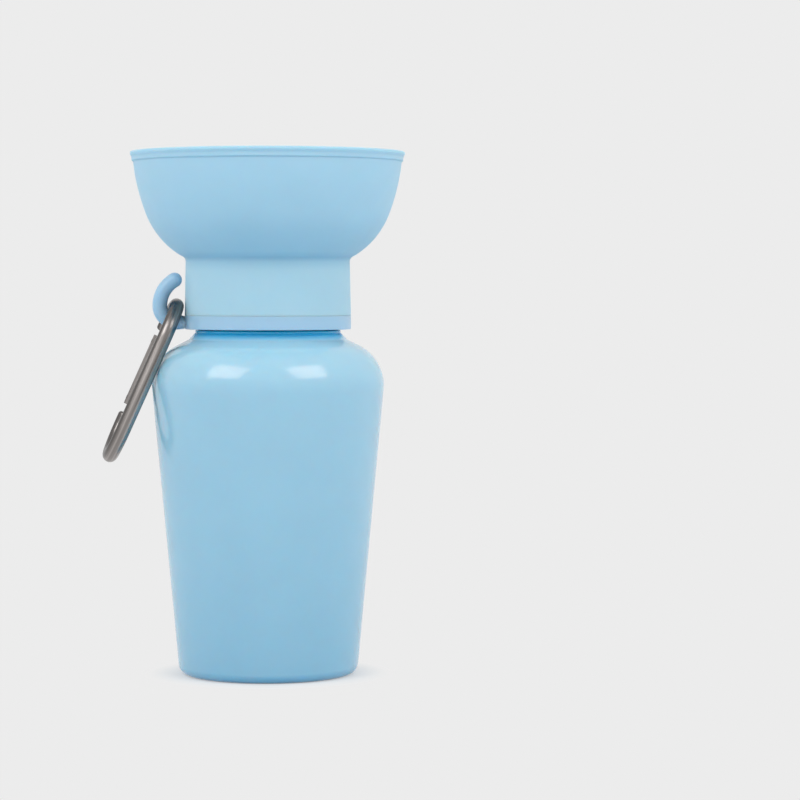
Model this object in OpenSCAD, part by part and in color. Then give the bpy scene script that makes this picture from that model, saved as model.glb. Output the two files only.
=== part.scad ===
// Squeeze water bottle for dogs. A tapered soft bottle carries a screw lid. The lid
// holds a folding silicone bowl, a dip tube, and a hook with a carabiner. A stopper
// with a loop handle screws into the lid's well, on the bowl's floor.
// Millimetres. The bottle's axis is Z and it stands on z = 0. The hook is on the -X side.

/* [Bottle] */
// Radius of the straight side, carried down to the floor
base_r = 33.8; // [31:0.1:35]
// Widest radius, at the top of the straight side
body_r = 43.9; // [41:0.1:46]
// Height of the widest place
body_h = 108; // [90:0.1:125]
// Rounding between the side and the floor
base_round = 4; // [3:0.5:8]
// Rounding of the shoulder
shoulder_round = 17; // [12:0.5:18]
// Slope of the shoulder's cone, up from the horizontal
shoulder_slope = 24.1; // [20:0.1:30]
// Wall of the body
bottle_wall = 1.6; // [1.2:0.1:2]
// Radius of the neck at the root of its thread
neck_r = 25; // [24:0.1:26]
// Wall of the neck
neck_wall = 1.8; // [1.5:0.1:2.2]
// Height of the lip above the lid's lower edge
neck_h = 19.7; // [18:0.1:24]
// How far the plain band under the lid stands out from the neck
band_proud = 2.6; // [2:0.1:3.5]
// Height of that band above the shoulder's cone
band_h = 2.7; // [2:0.1:5]
// Hollow between that band and the cone
band_fillet = 1.8; // [0.8:0.1:2.2]
// Radius of the shallow ring under the base
base_ring_r = 20; // [16:0.5:21]
// Width of that ring
base_ring_w = 3; // [2:0.5:4]
// Depth of that ring
base_ring_d = 0.6; // [0.3:0.1:0.8]

/* [Lid thread] */
// Rise of the lid in one turn
lid_lead = 12; // [11:0.5:13.5]
// Number of thread starts
lid_starts = 3; // [3:1:3]
// Depth of each thread lug
lid_thread_depth = 1.4; // [1:0.1:1.6]
// Height of a lug at its root
lid_lug_root = 1.9; // [1.6:0.1:2]
// Height of a lug at its tip
lid_lug_tip = 1.1; // [0.8:0.1:1.2]
// Angle that each lug runs round the neck
lid_lug_span = 80; // [50:1:90]
// Height of the neck's lugs below the lip
lid_lug_drop = 8; // [6:0.5:10]
// Radial room between the neck and the lid
lid_thread_gap = 0.5; // [0.4:0.05:0.7]

/* [Lid] */
// Room between the lid's lower edge and the band under it
lid_gap = 0.4; // [0.3:0.1:1]
// Wall of the lid's skirt
skirt_wall = 2.3; // [2:0.1:2.8]
// Thickness of the lid's deck
deck_t = 2.5; // [2:0.1:3]
// Height of the bare collar band
collar_h = 5.2; // [5:0.1:7]
// How far the collar stands proud of the silicone sleeve
collar_proud = 0.2; // [0:0.1:0.8]
// Thickness of the neck gasket
gasket_t = 1.5; // [1:0.1:2]
// Room between the lip and the gasket
gasket_gap = 0.3; // [0.2:0.05:0.4]
// Inner radius of the well under the stopper
well_r = 13; // [12:0.1:14]
// Wall of the well
well_wall = 1.8; // [1.5:0.1:2.2]
// Depth of the well below the deck
well_depth = 13.5; // [13:0.1:16]
// Bore of the nozzle in the well's floor
nozzle_bore_r = 2.6; // [2:0.1:2.8]
// Wall of the nozzle
nozzle_wall = 1.8; // [1.5:0.1:2.2]
// Height of the nozzle above the well's floor
nozzle_h = 1.5; // [1:0.1:2]

/* [Dip tube] */
// Outer radius of the tube
tube_r = 4; // [3.6:0.1:4.6]
// Wall of the tube
tube_wall = 1.2; // [0.8:0.1:1.3]
// Height of the tube's lower end above the floor
tube_foot_z = 10; // [8:0.5:14]
// Bevel of the tube's lower end
tube_bevel = 30; // [0:1:40]
// Length of the socket that holds the tube
socket_h = 8; // [6:0.5:10]
// Wall of that socket
socket_wall = 1.6; // [1.2:0.1:2]
// Radial room between the tube and its socket
tube_fit = 0.05; // [0.02:0.01:0.1]

/* [Silicone bowl] */
// Wall of the sleeve round the lid
sleeve_wall = 2; // [1.6:0.1:2.4]
// Room between the sleeve and the lid's skirt
sleeve_fit = 0.1; // [0.05:0.05:0.2]
// Open seam between the sleeve and the collar
seam_gap = 0.3; // [0.2:0.05:0.6]
// Depth of the bead that keys the sleeve to the skirt
bead_d = 0.6; // [0.4:0.1:0.8]
// Height of that bead
bead_h = 1.6; // [1.2:0.1:2]
// Thickness of the bowl's floor
floor_t = 2.2; // [1.8:0.1:2.6]
// Rise of the bowl's root above its floor
root_rise = 0.7; // [0.4:0.1:1]
// Radius of the hole in the bowl's floor
floor_hole_r = 21.5; // [20:0.1:22]
// Wall of the bowl
bowl_t = 1.5; // [1.2:0.1:1.8]
// Slope of the bowl's wall at its root, up from the horizontal
root_slope = 28; // [24:1:34]
// Slope where the lower curve meets the upper one
belly_slope = 69; // [62:1:74]
// Slope at the rim
rim_slope = 84; // [80:1:87]
// Radius of the lower curve
lower_curve_r = 31.6; // [28:0.1:36]
// Radius of the upper curve
upper_curve_r = 80; // [60:1:90]
// Height of the rim bead
rim_h = 3.3; // [2.6:0.1:4]
// How far the rim bead stands out from the wall
rim_proud = 1.1; // [0.6:0.1:1.4]

/* [Stopper] */
// Rise of the stopper in one turn
stopper_lead = 6; // [5.6:0.2:7]
// Number of thread starts
stopper_starts = 2; // [2:1:2]
// Depth of each thread lug
stopper_thread_depth = 1.4; // [1:0.1:1.5]
// Height of a lug at its root
stopper_lug_root = 1.4; // [1.2:0.1:1.4]
// Height of a lug at its tip
stopper_lug_tip = 0.8; // [0.6:0.1:0.9]
// Angle that each lug runs round the plug
stopper_lug_span = 110; // [70:1:120]
// Radial room between the plug and the well
stopper_gap = 0.5; // [0.4:0.05:0.7]
// Height of the well's lugs below the deck
stopper_lug_drop = 6.3; // [6:0.1:7]
// Room under and around the disc
disc_gap = 0.3; // [0.2:0.05:0.6]
// Thickness of the disc at its edge
disc_edge_t = 2; // [1.5:0.1:2.4]
// Radius of the disc's dome
dome_r = 100; // [80:1:140]
// Radius of the loop handle's rod
loop_rod_r = 3; // [2.4:0.1:3.4]
// Radius from the loop's centre to the middle of its rod
loop_r = 16.2; // [14.5:0.1:17]
// Extra radius of the loop's flared feet
loop_foot = 0.9; // [0.4:0.1:1.2]
// Height of the flared feet
loop_foot_h = 2.6; // [1.5:0.1:4]
// Radius of the O-ring's section
o_ring_r = 0.95; // [0.8:0.05:1.1]
// Radial room between the O-ring and the well
o_ring_gap = 0.05; // [0.02:0.01:0.1]
// Height of the O-ring's middle below the deck
o_ring_drop = 1.5; // [1.4:0.1:1.8]
// Width of each water groove in the plug
groove_w = 3; // [2:0.1:4]
// Depth of each water groove
groove_d = 1.6; // [1:0.1:2]
// Radius of the soft seal under the plug
seal_r = 6; // [5.4:0.1:7]
// Thickness of that seal
seal_t = 1.9; // [1.5:0.1:2.4]
// Room between the seal and the nozzle
seal_gap = 0.3; // [0.2:0.05:0.5]

/* [Hook] */
// Radius of the hook's rod
hook_rod_r = 2.8; // [2.4:0.1:2.8]
// Radius of the hook's upper curve
hook_curve_r = 11.2; // [10:0.1:12.5]
// Angle of the hook's upper curve
hook_curve_angle = 60; // [45:1:64]
// Room between the carabiner and the hook's seat
seat_gap = 0.75; // [0.6:0.05:1.2]
// Room between the carabiner and the silicone sleeve
sleeve_gap = 0.35; // [0.3:0.05:1]

/* [Carabiner] */
// Radius of the rod
rod_r = 2.75; // [2.4:0.05:2.9]
// Overall length
carabiner_l = 67.5; // [60:0.5:76]
// Overall width
carabiner_w = 31; // [30:0.5:34]
// Angle that it leans out, from the vertical
carabiner_lean = 24.2; // [24:0.1:30]
// Angle that it is turned about its long axis
carabiner_turn = 5; // [2:0.5:5]
// Radius of the gate
gate_r = 2.5; // [2.4:0.05:2.7]
// Radius of the gate's hollow
gate_bore_r = 1.7; // [1.5:0.05:1.75]
// Start of the gate below the end of the upper bend
gate_drop = 1.1; // [0.2:0.1:1.6]
// Length of the gate
gate_l = 28.6; // [27:0.1:29.6]
// Gap between the body and the gate at its pivot
hinge_gap = 2.4; // [1.8:0.1:3]
// Gap between the gate and the body's nose
nose_gap = 3.3; // [2.6:0.1:3.8]
// Distance of each cross pin from the gate's end
pin_inset = 2.5; // [2.2:0.1:3]
// Radius of the cross pins
pin_r = 0.8; // [0.6:0.05:1]
// Radial room round a pin that turns
pin_fit = 0.05; // [0.03:0.01:0.09]
// Radial room round a pin that is riveted
rivet_fit = 0.01; // [0.005:0.005:0.02]
// Thickness of the body's tongues
tongue_t = 2; // [1.6:0.1:2.2]
// Half height of the body's tongues
tongue_r = 1.8; // [1.6:0.1:2]
// Room on each side of a tongue
tongue_gap = 0.25; // [0.2:0.05:0.35]
// Room round the latch pin in its notch
latch_gap = 0.3; // [0.25:0.05:0.4]
// Length of the plunger's head
plunger_l = 2.6; // [2:0.1:3.5]
// Room between the gate's loose pieces
plunger_gap = 0.2; // [0.15:0.05:0.3]
// Turns of the gate's spring
spring_turns = 9; // [6:1:12]
// Length of the gate's spring
spring_l = 12; // [10:0.1:13]
// Radius of the spring's wire
spring_wire_r = 0.25; // [0.2:0.01:0.3]

/* [Hidden] */
$fn = 96;

// Finishes
bottle_blue = [0.53, 0.76, 0.90];
lid_blue = [0.50, 0.70, 0.87];
silicone_blue = [0.52, 0.74, 0.86];
seal_white = [0.86, 0.88, 0.88];
steel = [0.55, 0.54, 0.53];

// A cut runs this far past the solid it cuts
over = 1;
// Where two stretches of rod meet, one is thinner by a hair and reaches into the other
hair = 0.02;
lap = 0.5;

// Points on an arc round c, from angle a0 to a1
function arc(c, r, a0, a1, steps = 12) =
    [for (i = [0:steps]) let (a = a0 + (a1 - a0) * i / steps) c + r * [cos(a), sin(a)]];

// Bottle: the straight side leans out by side_lean, and the shoulder is tangent to it
side_lean = atan((body_r - base_r) / body_h);
base_c = [base_r - base_round * (1 - sin(side_lean)) / cos(side_lean), base_round];
shoulder_c = [body_r - shoulder_round * cos(side_lean), body_h + shoulder_round * sin(side_lean)];
cone_a = 90 - shoulder_slope;
cone_start = shoulder_c + shoulder_round * [cos(cone_a), sin(cone_a)];

// Height of the shoulder's cone at radius r, for a surface sunk by d below the outside
function cone_z(r, d = 0) =
    cone_start[1] - (d + sin(shoulder_slope) * (r - cone_start[0])) / cos(shoulder_slope);

band_r = neck_r + band_proud;
band_z = cone_z(band_r) + band_h;
band_fillet_c = [band_r + band_fillet, cone_z(band_r + band_fillet, -band_fillet)];
neck_in_r = neck_r - neck_wall;
base_inner_r = base_round - bottle_wall;

// Lid, from its lower edge up
lid_in_r = neck_r + lid_thread_depth + lid_thread_gap;
skirt_r = lid_in_r + skirt_wall;
lid_z0 = band_z + lid_gap;
lip_z = lid_z0 + neck_h;
gasket_z = lip_z + gasket_gap;
deck_z0 = gasket_z + gasket_t;
deck_z = deck_z0 + deck_t;
collar_z = lid_z0 + collar_h;
well_z = deck_z - well_depth;
well_out_r = well_r + well_wall;
nozzle_z = well_z + nozzle_h;
socket_in_r = tube_r + tube_fit;
tube_top_z = well_z - well_wall - tube_fit;
lid_lug_z = lip_z - lid_lug_drop;

// Silicone bowl: the outside of its wall is two arcs, tangent where they meet
sleeve_in_r = skirt_r + sleeve_fit;
sleeve_r = sleeve_in_r + sleeve_wall;
collar_r = sleeve_r + collar_proud;
sleeve_z0 = collar_z + seam_gap;
bead_z = sleeve_z0 + bead_h;
floor_z = deck_z + floor_t;
bowl_z0 = floor_z + root_rise;
// The arc's direction at slope s lies at angle s - 90 from its centre
function on_slope(c, r, s) = c + r * [sin(s), -cos(s)];
lower_c = [sleeve_r, bowl_z0] - on_slope([0, 0], lower_curve_r, root_slope);
belly = on_slope(lower_c, lower_curve_r, belly_slope);
upper_c = belly - on_slope([0, 0], upper_curve_r, belly_slope);
wall_top = on_slope(upper_c, upper_curve_r, rim_slope);
root_in = on_slope(lower_c, lower_curve_r - bowl_t, root_slope);
root_edge_r = root_in[0] - (root_in[1] - bowl_z0) / tan(root_slope);
floor_edge_r = root_edge_r - root_rise / tan(root_slope);
bowl_top_z = wall_top[1] + rim_h;
rim_in_r = wall_top[0] - bowl_t * sin(rim_slope);
rim_r = wall_top[0] + rim_proud;

// Stopper, closed
plug_r = well_r - stopper_thread_depth - stopper_gap;
plug_z = nozzle_z + seal_gap + seal_t / 2;
disc_r = floor_hole_r - disc_gap;
disc_z = deck_z + disc_gap;
disc_edge_z = disc_z + disc_edge_t;
dome_c_z = disc_edge_z - sqrt(dome_r * dome_r - disc_r * disc_r);
loop_z = dome_c_z + sqrt(dome_r * dome_r - loop_r * loop_r);
guide_r = well_r - disc_gap;
o_ring_z = deck_z - o_ring_drop;
o_ring_mid_r = well_r - o_ring_gap - o_ring_r;
o_groove_r = o_ring_mid_r - o_ring_r - o_ring_gap;
o_groove_h = 2 * (o_ring_r + o_ring_gap);
guide_z0 = o_ring_z - o_groove_h / 2 - disc_gap;
stopper_lug_z = deck_z - stopper_lug_drop;

// Hook: a seat concentric with the carabiner's rod, then a wider curve up to the tip
seat_r = hook_rod_r + rod_r + seat_gap;
hook_root_z = lid_z0 + collar_h / 2;
hang_x = -(collar_r + rod_r + sleeve_gap);
hang_z = hook_root_z + seat_r;

// Carabiner, drawn with its rod's topmost middle at the origin and its length along -Y
bend_r = carabiner_w / 2 - rod_r;
low_c = carabiner_l - 2 * rod_r - bend_r;
gate_y0 = bend_r + gate_drop;
pivot_y = gate_y0 + pin_inset;
gate_y1 = gate_y0 + gate_l;
latch_y = gate_y1 - pin_inset;
top_end_a = asin((hinge_gap - gate_drop) / bend_r);
nose_y = gate_y1 + nose_gap;
notch_r = pin_r + latch_gap;
slot_w = tongue_t + 2 * tongue_gap;
plunger_y = pivot_y + tongue_r + plunger_gap;
spring_y = plunger_y + plunger_l + plunger_gap;
spring_mid_r = gate_bore_r - spring_wire_r - plunger_gap;
stem_r = spring_mid_r - spring_wire_r - plunger_gap;
bore_end_y = spring_y + spring_l + plunger_gap;

// Thread lugs: pieces of a ring, each tilted to follow the helix
module lugs(count, root_r, tip_r, root_h, tip_h, lead, span, z) {
    tilt = atan(lead / (PI * (root_r + tip_r)));
    for (k = [0:count - 1])
        rotate([0, 0, k * 360 / count])
            translate([0, 0, z])
                rotate([tilt, 0, 0])
                    rotate_extrude(angle = span, start = -span / 2)
                        polygon([[root_r, -root_h / 2], [tip_r, -tip_h / 2],
                                 [tip_r, tip_h / 2], [root_r, root_h / 2]]);
}

// A straight round bar between two heights on the Z axis
module tube(r_out, r_in, z0, z1) {
    rotate_extrude() translate([r_in, z0]) square([r_out - r_in, z1 - z0]);
}

module bottle_body() {
    lip_round = neck_wall / 4;
    outside = concat(
        arc(base_c, base_round, -90, -side_lean, 8),
        arc(shoulder_c, shoulder_round, -side_lean, cone_a, 14),
        arc(band_fillet_c, band_fillet, 270 - shoulder_slope, 180, 5),
        [[band_r, band_z - lip_round], [band_r - lip_round, band_z], [neck_r, band_z],
         [neck_r, lip_z - lip_round], [neck_r - lip_round, lip_z]]);
    inside = concat(
        [[neck_in_r + lip_round, lip_z], [neck_in_r, lip_z - lip_round]],
        [[neck_in_r, cone_z(neck_in_r, bottle_wall)]],
        arc(shoulder_c, shoulder_round - bottle_wall, cone_a, -side_lean, 14),
        arc(base_c, base_inner_r, -side_lean, -90, 8));
    color(bottle_blue)
    union() {
        difference() {
            rotate_extrude() polygon(concat([[0, 0]], outside, inside, [[0, bottle_wall]]));
            tube(base_ring_r + base_ring_w, base_ring_r, -over, base_ring_d);
        }
        lugs(lid_starts, neck_r - neck_wall / 3, neck_r + lid_thread_depth,
             lid_lug_root, lid_lug_tip, lid_lead, lid_lug_span, lid_lug_z);
    }
}

module neck_gasket() {
    color(seal_white)
    tube(lid_in_r - lid_thread_gap, neck_in_r - lid_thread_gap, gasket_z, deck_z0);
}

module lid_shell() {
    collar_round = 0.5;
    well_mid_r = well_r + well_wall / 2;
    color(lid_blue)
    union() {
        // Skirt with its groove, collar band and deck
        difference() {
            rotate_extrude()
                polygon([[lid_in_r, lid_z0], [collar_r - collar_round, lid_z0],
                         [collar_r, lid_z0 + collar_round], [collar_r, collar_z],
                         [skirt_r, collar_z], [skirt_r, deck_z], [well_mid_r, deck_z],
                         [well_mid_r, deck_z0], [lid_in_r, deck_z0]]);
            tube(skirt_r + over, skirt_r - bead_d - sleeve_fit,
                 bead_z - sleeve_fit, bead_z + bead_h + sleeve_fit);
        }
        // Well, its floor with the nozzle, and the socket for the dip tube
        rotate_extrude()
            polygon([[well_r, deck_z], [well_out_r, deck_z], [well_out_r, well_z - well_wall],
                     [socket_in_r + socket_wall, well_z - well_wall],
                     [socket_in_r + socket_wall, well_z - well_wall - socket_h],
                     [socket_in_r, well_z - well_wall - socket_h],
                     [socket_in_r, well_z - well_wall], [nozzle_bore_r, well_z - well_wall],
                     [nozzle_bore_r, nozzle_z], [nozzle_bore_r + nozzle_wall, nozzle_z],
                     [nozzle_bore_r + nozzle_wall, well_z], [well_r, well_z]]);
        lugs(lid_starts, lid_in_r + skirt_wall / 3, lid_in_r - lid_thread_depth,
             lid_lug_root, lid_lug_tip, lid_lead, lid_lug_span,
             lid_lug_z - lid_lead / lid_starts / 2);
        lugs(stopper_starts, well_r + well_wall / 3, well_r - stopper_thread_depth,
             stopper_lug_root, stopper_lug_tip, stopper_lead, stopper_lug_span, stopper_lug_z);
        hook();
    }
}

// The hook stands in the XZ plane
module hook() {
    root_l = -hang_x - (skirt_r - skirt_wall / 2);
    tip_a = 180 - hook_curve_angle;
    lap_a = 2;
    translate([hang_x - lap, 0, hook_root_z])
        rotate([0, 90, 0]) cylinder(r = hook_rod_r - hair, h = root_l + lap);
    translate([hang_x, 0, hang_z])
        rotate([90, 0, 0])
            rotate_extrude(angle = 90, start = 180) translate([seat_r, 0]) circle(hook_rod_r);
    translate([hang_x - seat_r + hook_curve_r, 0, hang_z]) {
        rotate([90, 0, 0])
            rotate_extrude(angle = hook_curve_angle + lap_a, start = tip_a)
                translate([hook_curve_r, 0]) circle(hook_rod_r - hair);
        translate(hook_curve_r * [cos(tip_a), 0, sin(tip_a)]) sphere(hook_rod_r);
    }
}

module dip_tube() {
    color(seal_white)
    difference() {
        tube(tube_r, tube_r - tube_wall, tube_foot_z, tube_top_z);
        translate([-tube_r, 0, tube_foot_z])
            rotate([0, -tube_bevel, 0])
                translate([-over, -tube_r - over, -3 * tube_r])
                    cube([4 * tube_r, 2 * tube_r + 2 * over, 3 * tube_r]);
    }
}

module bowl_sleeve() {
    color(silicone_blue)
    rotate_extrude()
        polygon([[floor_hole_r, deck_z], [sleeve_in_r, deck_z],
                 [sleeve_in_r, bead_z + bead_h], [sleeve_in_r - bead_d, bead_z + bead_h],
                 [sleeve_in_r - bead_d, bead_z], [sleeve_in_r, bead_z],
                 [sleeve_in_r, sleeve_z0], [sleeve_r, sleeve_z0],
                 [sleeve_r, bowl_z0], [root_edge_r, bowl_z0],
                 [floor_edge_r, floor_z], [floor_hole_r, floor_z]]);
}

module bowl_wall() {
    outside = concat(
        arc(lower_c, lower_curve_r, root_slope - 90, belly_slope - 90, 12),
        arc(upper_c, upper_curve_r, belly_slope - 90, rim_slope - 90, 8));
    inside = concat(
        [[rim_in_r, wall_top[1]]],
        arc(upper_c, upper_curve_r - bowl_t, rim_slope - 90, belly_slope - 90, 8),
        arc(lower_c, lower_curve_r - bowl_t, belly_slope - 90, root_slope - 90, 12));
    color(silicone_blue)
    rotate_extrude() polygon(concat(outside, inside, [[root_edge_r, bowl_z0]]));
}

module bowl_rim() {
    rim_round = 1.1;
    foot = [rim_r - rim_round, wall_top[1] + rim_round];
    brow = [rim_r - rim_round, bowl_top_z - rim_round];
    crest = [rim_in_r + rim_round, bowl_top_z - rim_round];
    color(silicone_blue)
    rotate_extrude()
        polygon(concat([[rim_in_r, wall_top[1]], [wall_top[0], wall_top[1]]],
                       arc(foot, rim_round, -45, 0, 4), arc(brow, rim_round, 0, 90, 6),
                       arc(crest, rim_round, 90, 180, 6)));
}

module stopper() {
    edge_round = 0.6;
    dome_a = acos((disc_r - edge_round) / dome_r);
    color(lid_blue)
    union() {
        difference() {
            rotate_extrude()
                polygon(concat(
                    [[0, plug_z], [plug_r, plug_z], [plug_r, guide_z0], [guide_r, guide_z0],
                     [guide_r, o_ring_z - o_groove_h / 2], [o_groove_r, o_ring_z - o_groove_h / 2],
                     [o_groove_r, o_ring_z + o_groove_h / 2], [guide_r, o_ring_z + o_groove_h / 2],
                     [guide_r, disc_z], [disc_r - edge_round, disc_z], [disc_r, disc_z + edge_round],
                     [disc_r, disc_edge_z - edge_round]],
                    arc([0, dome_c_z], dome_r, dome_a, 90, 10)));
            // Pocket for the soft seal, and four grooves that let the water past
            translate([0, 0, plug_z - over]) cylinder(r = seal_r + disc_gap, h = seal_t / 2 + over);
            for (k = [0:3])
                rotate([0, 0, 45 + k * 90])
                    translate([plug_r - groove_d, -groove_w / 2, plug_z - over])
                        cube([groove_d + over, groove_w, guide_z0 - plug_z]);
        }
        difference() {
            lugs(stopper_starts, plug_r - groove_d / 2, plug_r + stopper_thread_depth,
                 stopper_lug_root, stopper_lug_tip, stopper_lead, stopper_lug_span,
                 stopper_lug_z - stopper_lead / stopper_starts / 2);
            for (k = [0:3])
                rotate([0, 0, 45 + k * 90])
                    translate([plug_r - groove_d, -groove_w / 2, plug_z - over])
                        cube([2 * groove_d + over, groove_w, guide_z0 - plug_z]);
        }
        loop_handle();
    }
}

// The loop stands in the XZ plane on two flared feet
module loop_handle() {
    translate([0, 0, loop_z])
        rotate([90, 0, 0])
            rotate_extrude(angle = 180) translate([loop_r, 0]) circle(loop_rod_r);
    for (side = [-1, 1])
        translate([side * loop_r, 0, loop_z - disc_edge_t / 2])
            cylinder(r1 = loop_rod_r + loop_foot, r2 = loop_rod_r - 0.05, h = loop_foot_h);
}

module stopper_o_ring() {
    color(seal_white)
    translate([0, 0, o_ring_z])
        rotate_extrude() translate([o_ring_mid_r, 0]) circle(o_ring_r, $fn = 48);
}

module stopper_seal() {
    color(seal_white)
    translate([0, 0, nozzle_z + seal_gap]) cylinder(r = seal_r, h = seal_t);
}

// Places a piece drawn in the carabiner's own plane: X across, gate on +X, length on -Y
module hang() {
    translate([hang_x, 0, hang_z])
        rotate([0, carabiner_lean, 0])
            rotate([0, 0, carabiner_turn])
                rotate([90, 0, 90])
                    children();
}

// A stretch of the rod's bend round the point [0, y]
module rod_bend(y, start, angle) {
    translate([0, y, 0])
        rotate_extrude(angle = angle, start = start) translate([bend_r, 0]) circle(rod_r);
}

// A straight stretch of the rod that reaches into the bends at its ends
module rod_bar(x, y0, y1) {
    bar(x, y0 - lap, y1 + lap, rod_r - hair);
}

// A straight round bar along -Y, from y0 down to y1
module bar(x, y0, y1, r) {
    translate([x, -y0, 0]) rotate([90, 0, 0]) cylinder(r = r, h = y1 - y0);
}

// A cross pin or its hole, through the plane
module cross(y, r, h) {
    translate([bend_r, -y, 0]) cylinder(r = r, h = h, center = true);
}

module carabiner_body() {
    color(steel)
    hang()
    union() {
        rod_bend(-bend_r, top_end_a, 180 - top_end_a);
        rod_bar(-bend_r, bend_r, low_c);
        rod_bend(-low_c, 180, 180);
        rod_bar(bend_r, nose_y + lap, low_c);
        hinge_tongue();
        latch_tongue();
    }
}

// The hinge tongue reaches into the gate's slot and turns on the pivot pin
module hinge_tongue() {
    root = gate_y0 - hinge_gap - tongue_r;
    difference() {
        union() {
            translate([bend_r - tongue_r, -pivot_y, -tongue_t / 2])
                cube([2 * tongue_r, pivot_y - root, tongue_t]);
            cross(pivot_y, tongue_r, tongue_t);
        }
        cross(pivot_y, pin_r + pin_fit, tongue_t + 2 * over);
    }
}

// The latch tongue hooks over the latch pin, through a notch open to the inside
module latch_tongue() {
    tip_y = latch_y - notch_r - pin_r;
    linear_extrude(tongue_t, center = true)
        difference() {
            translate([bend_r - tongue_r, -nose_y - tongue_r])
                square([2 * tongue_r, nose_y + tongue_r - tip_y]);
            translate([bend_r, -latch_y]) circle(notch_r);
            translate([bend_r - tongue_r - over, -latch_y - notch_r])
                square([tongue_r + over, 2 * notch_r]);
        }
}

module carabiner_gate() {
    hinge_slot = pin_inset + tongue_r + 2 * plunger_gap;
    latch_slot = pin_inset + notch_r + pin_r + 3 * latch_gap;
    color(steel)
    hang()
    difference() {
        bar(bend_r, gate_y0, gate_y1, gate_r);
        bar(bend_r, gate_y0 - over, bore_end_y, gate_bore_r);
        for (slot = [[gate_y0 - over, gate_y0 + hinge_slot], [gate_y1 - latch_slot, gate_y1 + over]])
            translate([bend_r - gate_r - over, -slot[1], -slot_w / 2])
                cube([2 * (gate_r + over), slot[1] - slot[0], slot_w]);
        cross(pivot_y, pin_r + rivet_fit, 2 * (gate_r + over));
        cross(latch_y, pin_r + rivet_fit, 2 * (gate_r + over));
    }
}

module gate_pivot_pin() {
    color(steel) hang() cross(pivot_y, pin_r, 2 * gate_r);
}

module gate_latch_pin() {
    color(steel) hang() cross(latch_y, pin_r, 2 * gate_r);
}

module gate_plunger() {
    color(steel)
    hang()
    union() {
        bar(bend_r, plunger_y, plunger_y + plunger_l, gate_bore_r - plunger_gap / 2);
        bar(bend_r, plunger_y + plunger_l / 2, spring_y + spring_l / 3, stem_r);
    }
}

// The spring is one tube wound on a helix, with closed flat ends
module gate_spring() {
    sides = 6;
    rings = 8 * spring_turns;
    rise = spring_l - 2 * spring_wire_r;
    points = [for (i = [0:rings])
        let (a = 360 * i / 8, y = spring_y + spring_wire_r + rise * i / rings)
        for (k = [0:sides - 1])
            let (b = 360 * k / sides, r = spring_mid_r + spring_wire_r * cos(b))
            [bend_r + r * cos(a), -y - spring_wire_r * sin(b), r * sin(a)]];
    skin = [for (i = [0:rings - 1]) for (k = [0:sides - 1])
        let (a = i * sides + k, b = i * sides + (k + 1) % sides)
        each [[a, b, a + sides], [b, b + sides, a + sides]]];
    caps = [for (k = [1:sides - 2]) each [[0, k + 1, k],
        [rings * sides, rings * sides + k, rings * sides + k + 1]]];
    color(steel) hang() polyhedron(points, concat(skin, caps));
}

bottle_body();
neck_gasket();
lid_shell();
dip_tube();
bowl_sleeve();
bowl_wall();
bowl_rim();
stopper();
stopper_o_ring();
stopper_seal();
carabiner_body();
carabiner_gate();
gate_pivot_pin();
gate_latch_pin();
gate_plunger();
gate_spring();
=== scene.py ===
# %% [markdown]
# # A squeeze water bottle for dogs
# The bottle is a soft tapered blow moulding with a wide screw lid. A silicone bowl grips the
# lid and can be folded down over it. A stopper with a loop handle closes the hole in the
# bowl's floor, and a small metal carabiner hangs from a hook on the lid.
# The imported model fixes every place, so it is loaded first and never moved. The dimensions
# below are the ones it was made from, so the pieces built from them fit it.

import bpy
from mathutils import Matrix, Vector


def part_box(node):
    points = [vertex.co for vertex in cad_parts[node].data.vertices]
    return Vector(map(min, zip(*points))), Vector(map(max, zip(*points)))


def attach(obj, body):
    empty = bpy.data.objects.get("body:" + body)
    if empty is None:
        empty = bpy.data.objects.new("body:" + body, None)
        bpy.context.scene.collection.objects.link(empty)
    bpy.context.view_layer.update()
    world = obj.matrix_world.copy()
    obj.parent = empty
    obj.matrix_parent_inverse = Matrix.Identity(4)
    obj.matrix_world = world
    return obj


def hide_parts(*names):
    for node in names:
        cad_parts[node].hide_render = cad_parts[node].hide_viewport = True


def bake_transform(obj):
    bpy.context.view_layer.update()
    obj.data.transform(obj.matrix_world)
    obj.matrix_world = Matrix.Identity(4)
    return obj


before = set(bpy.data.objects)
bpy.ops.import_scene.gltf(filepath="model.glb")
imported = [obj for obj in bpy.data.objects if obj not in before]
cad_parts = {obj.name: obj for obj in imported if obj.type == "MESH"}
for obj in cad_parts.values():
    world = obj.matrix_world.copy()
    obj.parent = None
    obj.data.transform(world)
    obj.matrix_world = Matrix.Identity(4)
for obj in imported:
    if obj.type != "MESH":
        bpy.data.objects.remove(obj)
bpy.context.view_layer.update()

# %% Tools and units
import math

import bpy
import numpy as np
from mathutils import Matrix, Vector

MM = 0.001


def node_mm(name):
    """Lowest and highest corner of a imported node, in millimetres."""
    low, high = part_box(name)
    return np.array(low) / MM, np.array(high) / MM


# %% [markdown]
# ## The view
# The camera stands 1.1 m in front of the bottle, at the lid's height. It looks slightly down
# and to the right, so that the bottle stands left of the middle. The lens is long, so the
# sides run almost parallel.

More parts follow.
